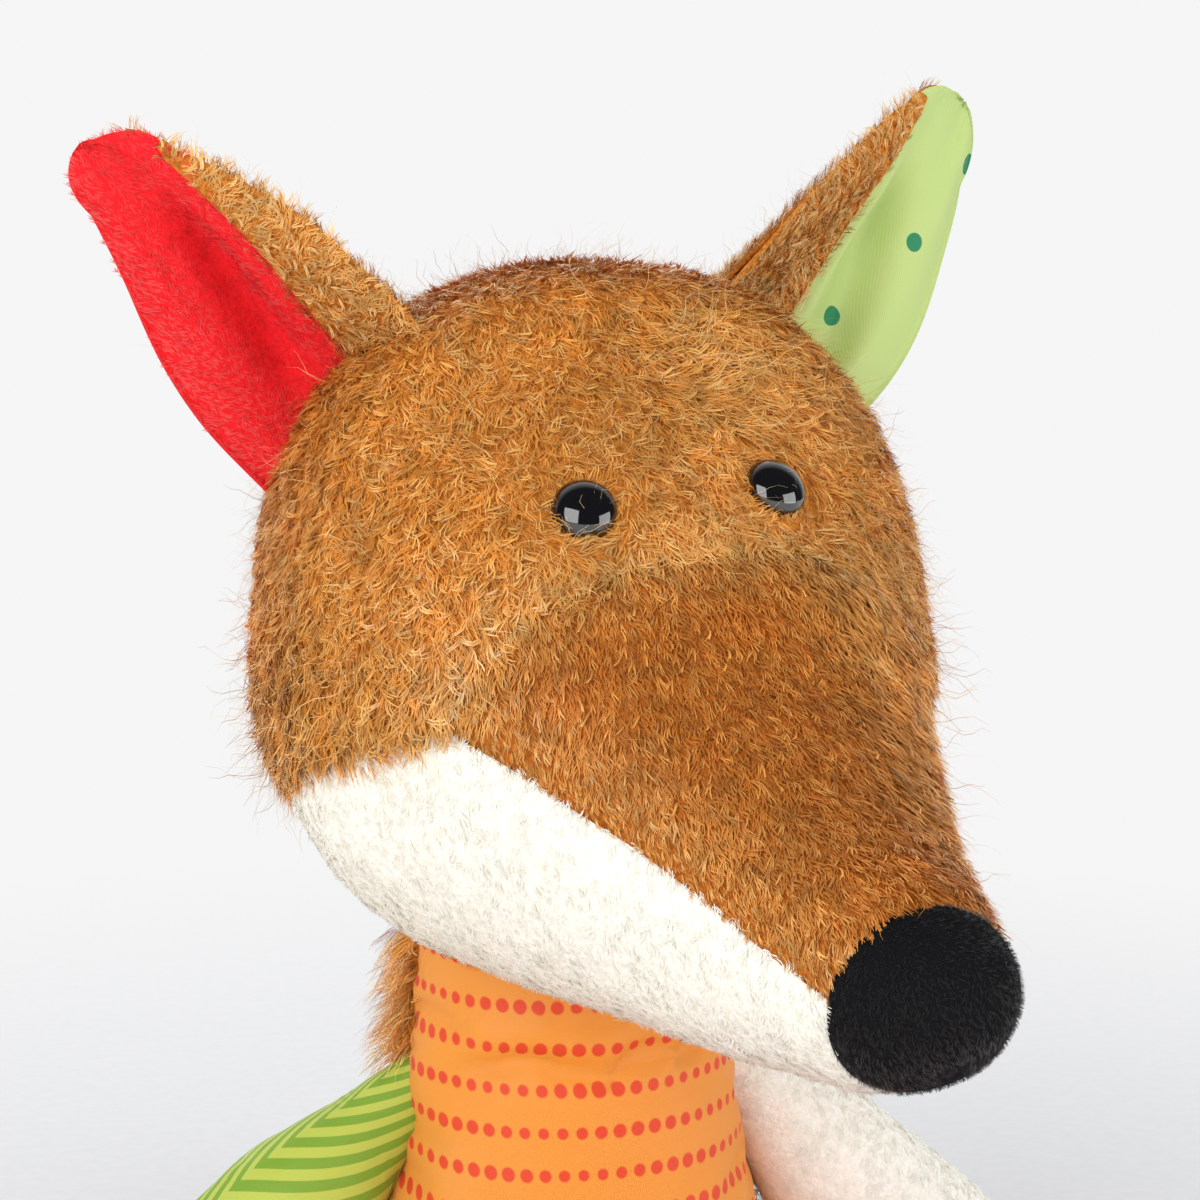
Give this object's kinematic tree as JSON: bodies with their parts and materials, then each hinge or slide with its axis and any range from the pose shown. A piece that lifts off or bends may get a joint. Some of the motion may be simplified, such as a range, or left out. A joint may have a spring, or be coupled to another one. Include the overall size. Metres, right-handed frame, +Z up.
{
  "type": "plush fox",
  "caption": "Sitting plush fox with a long snout, upright ears, floppy arms and legs and a bushy tail, sewn from plush, sherpa and satin over soft stuffing.",
  "frame": {"origin": "centre of the seat, on the surface the toy sits on", "axes": "+Z up; the fox faces -Y; its left side is at +X"},
  "size_m": [0.1728, 0.2743, 0.2352],
  "materials": {
    "brown_plush": "long curled pile",
    "muzzle_plush": "shorter, darker pile",
    "cream_sherpa": "curly cream pile",
    "black_velvet": "short black velvet",
    "eye_plastic": "glossy black",
    "washer_plastic": "natural white",
    "red_plush": "short red pile",
    "green_satin": "light green satin with dark dots",
    "striped_satin": "green satin with tonal stripes",
    "orange_satin": "orange satin with rows of red dots",
    "stuffing": "loose white fibre",
    "pellet_cloth": "plain weave"
  },
  "bodies": {
    "torso": {"belly_cover": "orange_satin", "back_cover": "brown_plush", "seat_cover": "brown_plush", "body_stuffing": "stuffing", "pellet_pouch": "pellet_cloth"},
    "neck": {"neck_stuffing": "stuffing"},
    "head": {"crown_cover_left": "brown_plush", "crown_cover_right": "brown_plush", "muzzle_cover_left": "muzzle_plush", "muzzle_cover_right": "muzzle_plush", "chin_cover": "cream_sherpa", "nose_cover": "black_velvet", "head_stuffing": "stuffing", "eye_left": "eye_plastic", "eye_right": "eye_plastic", "eye_washer_left": "washer_plastic", "eye_washer_right": "washer_plastic"},
    "ear_left": {"ear_left_fur": "brown_plush", "ear_left_lining": "green_satin"},
    "ear_right": {"ear_right_fur": "brown_plush", "ear_right_lining": "red_plush"},
    "arm_left": {"arm_left_cover": "cream_sherpa", "arm_left_stuffing": "stuffing"},
    "arm_right": {"arm_right_cover": "striped_satin", "arm_right_stuffing": "stuffing"},
    "leg_left": {"leg_left_cover": "red_plush", "leg_left_stuffing": "stuffing"},
    "leg_right": {"leg_right_cover": "orange_satin", "leg_right_stuffing": "stuffing"},
    "tail": {"tail_cover": "brown_plush", "tail_tip_cover": "cream_sherpa", "tail_stuffing": "stuffing"}
  },
  "joints": [
    {"name": "head_turn", "type": "hinge", "parent": "torso", "child": "neck", "pos_m": [0, 0, 0.098], "axis": [0, 0, 1], "range_deg": [-52, 28], "stiffness_Nm_per_rad": 0.01},
    {"name": "head_nod", "type": "hinge", "parent": "neck", "child": "head", "pos_m": [0, 0, 0.098], "axis": [-0.9781, -0.2079, 0], "range_deg": [0, 15]},
    {"name": "ear_left_fold", "type": "hinge", "parent": "head", "child": "ear_left", "pos_m": [0.02764, 0.01525, 0.1835], "axis": [0.6417, 0.2433, -0.7273], "range_deg": [-9, 9], "stiffness_Nm_per_rad": 0.01},
    {"name": "ear_right_fold", "type": "hinge", "parent": "head", "child": "ear_right", "pos_m": [-0.03201, 0.00257, 0.18287], "axis": [0.6866, -0.334, 0.6457], "range_deg": [-9, 9], "stiffness_Nm_per_rad": 0.01},
    {"name": "arm_left_swing", "type": "hinge", "parent": "torso", "child": "arm_left", "pos_m": [0.02812, 0, 0.069], "axis": [-1, 0, 0], "range_deg": [-30, 90]},
    {"name": "arm_right_swing", "type": "hinge", "parent": "torso", "child": "arm_right", "pos_m": [-0.02812, 0, 0.069], "axis": [-1, 0, 0], "range_deg": [-30, 90]},
    {"name": "leg_left_swing", "type": "hinge", "parent": "torso", "child": "leg_left", "pos_m": [0.02253, -0.03492, 0.0145], "axis": [-0.9455, -0.3256, 0], "range_deg": [-30, 45]},
    {"name": "leg_right_swing", "type": "hinge", "parent": "torso", "child": "leg_right", "pos_m": [-0.02253, -0.03492, 0.0145], "axis": [-0.9455, 0.3256, 0], "range_deg": [-30, 45]},
    {"name": "tail_swing", "type": "hinge", "parent": "torso", "child": "tail", "pos_m": [0, 0.039, 0.0165], "axis": [0, 0, 1], "range_deg": [-45, 45]}
  ]
}
